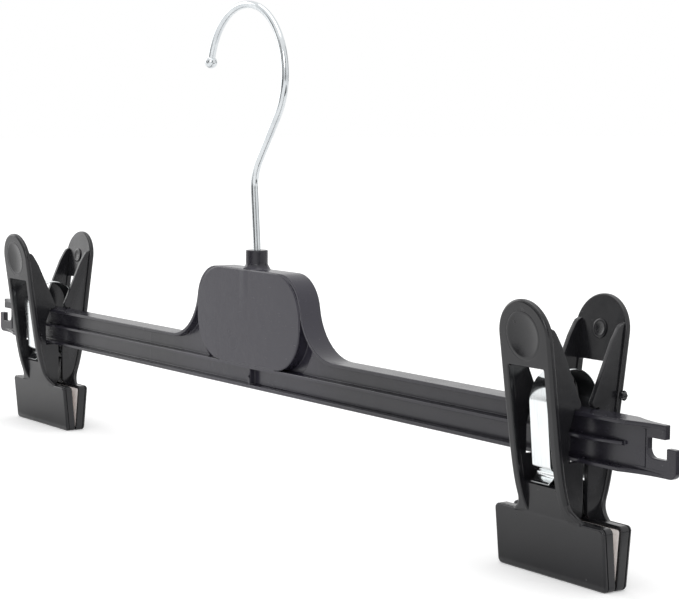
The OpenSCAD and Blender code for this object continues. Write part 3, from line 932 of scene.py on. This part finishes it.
def wing_solid(x):
    """Wing that carries the nose and goes round the bar."""
    root = arm_y(WING_TOP) - ARM_T / 2
    step = arm_y(WING_TOP) - 2.2
    outline = [
        (root, WING_TOP + 1), (step, WING_TOP + 0.3), (step - 0.9, WING_TOP - 0.1),
        (step - 1.6, WING_TOP - 1), (step - 3.4, WING_TOP - 4),
        (PIVOT_Y - PIVOT_R * 0.98, PIVOT_Z + 0.25),
    ]
    for degrees in range(180, 316, 15):
        a = math.radians(degrees)
        outline.append((PIVOT_Y + PIVOT_R * math.cos(a), PIVOT_Z + PIVOT_R * math.sin(a)))
    outline += [
        (4.05, BAR_TOP + 0.1), (4.15, BAR_TOP - 0.7), (4.5, BAR_TOP - 1.8), (5.1, BAR_TOP - 3.2),
        (ROOM_Y, BAR_TOP - 4.8), (ROOM_Y, LOWER_Z), (WING_GAP + 0.4, LOWER_Z),
        (WING_GAP, LOWER_Z - 0.4), (WING_GAP, JAW_H + 1.2), (THROAT + 0.4, JAW_H - 0.6),
        (JAW_TOP_Y - 0.6, JAW_H - 0.6),
    ]
    outline += [(arm_y(z) - ARM_T / 2, z) for z in (JAW_H + i * i * 0.45 for i in range(8))]
    sides = (x - WING_T / 2, x + WING_T / 2)
    bm = closed_loft([[(px, y, z) for y, z in outline] for px in sides])
    return soft_edges(bm, 0.22, 50, 2)


def plate_solid():
    """Plate between the jaw and the window."""
    hw = (WAIST_W - 2 * WING_INSET - 1) / 2
    outline = [(JAW_TOP_Y - 0.1, JAW_H - 1), (JAW_TOP_Y, JAW_H)]
    outline += [(JAW_TOP_Y + PLATE_SLOPE * (z - JAW_H), z) for z in (17, 18.5, 21)]
    outline += [
        (PLATE_Y - 0.06, WINDOW_Z0 - 0.5), (PLATE_Y - 0.35, WINDOW_Z0 - 0.08),
        (PLATE_Y - 0.7, WINDOW_Z0), (PLATE_Y - PLATE_T + 0.3, WINDOW_Z0),
        (PLATE_Y - PLATE_T, WINDOW_Z0 - 0.3), (JAW_TOP_Y - PLATE_T, JAW_H - 1),
    ]
    return closed_loft([[(px, y, z) for y, z in outline] for px in (-hw, hw)])


def arm_piece():
    """Arm with its window, the thumb dish on its pad and the dished boss inside the pad."""
    inner_edge = [(by, ARM_T - deep) for by, deep in reversed(rounding(0.45, 3))]
    levels = rounding(0.9, 5) + [(0, ARM_T - 0.45)] + inner_edge[1:]
    arm = as_object("clip_arm", bent_plate(arm_outline(), levels))
    window = round_rectangle(-WINDOW_W / 2, JAW_H - 2.5, WINDOW_W / 2, WINDOW_Z1, 0.5, 4)
    flare = [(-0.4, -1.0)] + [(-by, deep) for by, deep in rounding(0.4, 4)]
    flare += [(0, ARM_T - 0.3), (-0.12, ARM_T - 0.08), (-0.3, ARM_T), (-0.3, ARM_T + 1.0)]
    combine(arm, bent_plate(window, flare), "DIFFERENCE")

    tilt = math.atan(ARM_SLOPE)
    out = Vector((0, math.cos(tilt), -math.sin(tilt)))
    face = Vector((0, arm_y(DIMPLE_Z), DIMPLE_Z))
    dish = [(0.02, 3), (6.45, 3), (6.42, 0.05), (6.3, -0.06), (6.14, -0.08), (6.0, -0.04),
            (5.86, 0.03), (DIMPLE_R, 0.0)]
    dish += [(DIMPLE_R * k, -DIMPLE_DEEP * (1 - k ** 2))
             for k in (0.94, 0.86, 0.74, 0.6, 0.44, 0.28, 0.12, 0.004)]
    combine(arm, lathe(dish, face, out), "DIFFERENCE")
    boss = [(0.02, -0.8), (2.5, -0.8), (2.5, 0.14), (2.45, 0.27), (2.32, 0.36), (2.1, 0.4),
            (1.75, 0.4), (1.55, 0.34), (1.4, 0.3), (0.02, 0.28)]
    combine(arm, lathe(boss, face - out * ARM_T, -out, 48), "UNION")
    return arm


def clip_half(gate):
    """One rear half about its own middle, with or without the torn gate on its side."""
    half = as_object("clip_half", jaw_solid())
    seat = round_rectangle(-JAW_W / 2 + LINER_MARGIN, LINER_MARGIN,
                           JAW_W / 2 - LINER_MARGIN, JAW_H - LINER_MARGIN, SEAT_R, 5)
    recess = closed_loft([[(px, bite(pz, deep), pz) for px, pz in seat]
                          for deep in (-1.5, LINER_T)])
    combine(half, recess, "DIFFERENCE")
    arm = arm_piece()
    joined = solid_of(arm)
    discard(arm)
    combine(half, joined, "UNION")
    combine(half, plate_solid(), "UNION")
    for side in (-1, 1):
        combine(half, wing_solid(side * ((WAIST_W - WING_T) / 2 - WING_INSET)), "UNION")
    if gate:
        combine(half, gate_scar(), "UNION")
    bm = solid_of(half)
    bmesh.ops.remove_doubles(bm, verts=bm.verts, dist=2e-6)
    bmesh.ops.dissolve_degenerate(bm, edges=bm.edges, dist=1e-6)
    bm.to_mesh(half.data)
    bm.free()
    return smooth(half, 33)


def gate_scar():
    """Lump with torn lobes that the moulding gate leaves on the side of an arm."""
    bm = bmesh.new()
    bmesh.ops.create_icosphere(bm, subdivisions=3, radius=1.0)
    middle_x, middle_y, middle_z = GATE
    for vert in bm.verts:
        p = vert.co
        turn = math.atan2(p.z, p.y)
        ring = math.hypot(p.y, p.z)
        lobes = 1 + 0.2 * ring * math.cos(5 * turn + 0.6)
        vert.co = Vector((middle_x + GATE_R * p.x + 0.12 * math.sin(7 * p.y),
                          middle_y + GATE_R * p.y * lobes,
                          middle_z + GATE_R * p.z * lobes)) * MM
    return bm


def make_clips():
    patterns = {gate: clip_half(gate) for gate in (False, True)}
    for side, x in CLIP_X.items():
        for face, turn in (("front", math.pi), ("rear", 0.0)):
            name = side + "_" + face
            mesh = patterns[name == "right_rear"].data.copy()
            mesh.name = name + "_half"
            mesh.transform(to_clip(turn, x))
            piece = bpy.data.objects.new(name + "_half", mesh)
            bpy.context.scene.collection.objects.link(piece)
            finish(piece, CLIP_BLACK, "clip_plastic", name, name + "_jaw")
    for pattern in patterns.values():
        discard(pattern)


# ---------------------------------------------------------------- bar

def add_panel(bar):
    """Puts a panel with a rounded rim in place of the plain one on the hub."""
    loop = round_rectangle(-PANEL_X, PANEL_LOW, PANEL_X, PANEL_HIGH, PANEL_R, 24)
    room = closed_loft([[(px, y, pz) for px, pz in inset(loop, -PANEL_ROOM)]
                        for y in (-5, FLANGE_Y)])
    combine(bar, room, "DIFFERENCE")
    rim = [[(px, PANEL_Y + deep, pz) for px, pz in inset(loop, by + 0.008)]
           for by, deep in rounding(0.42, 6)]
    rim.append([(px, PANEL_ROOT_Y, pz) for px, pz in inset(loop, 0.008)])
    combine(bar, closed_loft(rim), "UNION")


def cut_stub(bar):
    """Cuts the short rib under the panel back and puts the blind hole in its end."""
    w, low, high = STUB_HALF_W, BAR_Z + 1.0, STUB_HIGH
    combine(bar, closed_loft([[(-w, y, low), (w, y, low), (w, y, high), (-w, y, high)]
                              for y in (-5.5, STUB_Y)]), "DIFFERENCE")
    hole = [(0.02, 0.5), (0.44, 0.5), (0.42, -1.2), (0.02, -1.2)]
    combine(bar, lathe(hole, (0, STUB_Y, HOLE_Z), (0, -1, 0), 28), "DIFFERENCE")


def slope_pockets(bar):
    """Gives the pockets in the tails a sloping floor, on both faces of the web."""
    near, far = HALF_BAR / MM - POCKET_NEAR, HALF_BAR / MM - POCKET_FAR
    wedge = [(near, 0.5), (far, 0.5), (far, 0.71), (near, 0.905)]
    for sx in (-1, 1):
        for sy in (-1, 1):
            slope = closed_loft([[(sx * x, sy * y, z) for x, y in wedge]
                                 for z in (POCKET_LOW, POCKET_HIGH)])
            combine(bar, slope, "UNION")


def round_bar_edges(bar):
    """Rounds the edges of the larger faces, and keeps the vertices on the moulding's surface."""
    bm = solid_of(bar)
    surface = BVHTree.FromBMesh(bm)

    def wide(edge):
        area = min(f.calc_area() for f in edge.link_faces)
        return area > 0.2e-6 and edge.calc_length() > 0.12e-3

    soft_edges(bm, 0.26, 28, 3, wide, clamp=False)
    for vert in bm.verts:
        place, _, _, distance = surface.find_nearest(vert.co)
        if distance > 0.12e-3:
            vert.co = place
    bm.to_mesh(bar.data)
    bm.free()


def make_bar():
    """The bar's own solid with the details that the finished moulding has."""
    bm = solid_of(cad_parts["bar"])
    bmesh.ops.remove_doubles(bm, verts=bm.verts, dist=3e-6)
    bmesh.ops.dissolve_limit(bm, angle_limit=math.radians(0.5), verts=bm.verts, edges=bm.edges)
    bar = as_object("bar_moulding", bm)
    cut_stub(bar)
    add_panel(bar)
    slope_pockets(bar)
    round_bar_edges(bar)
    smooth(bar, 30)
    finish(bar, BAR_BLACK, "bar_plastic", "bar", "bar")


make_bar()
make_hook()
make_springs()
make_liners()
make_clips()
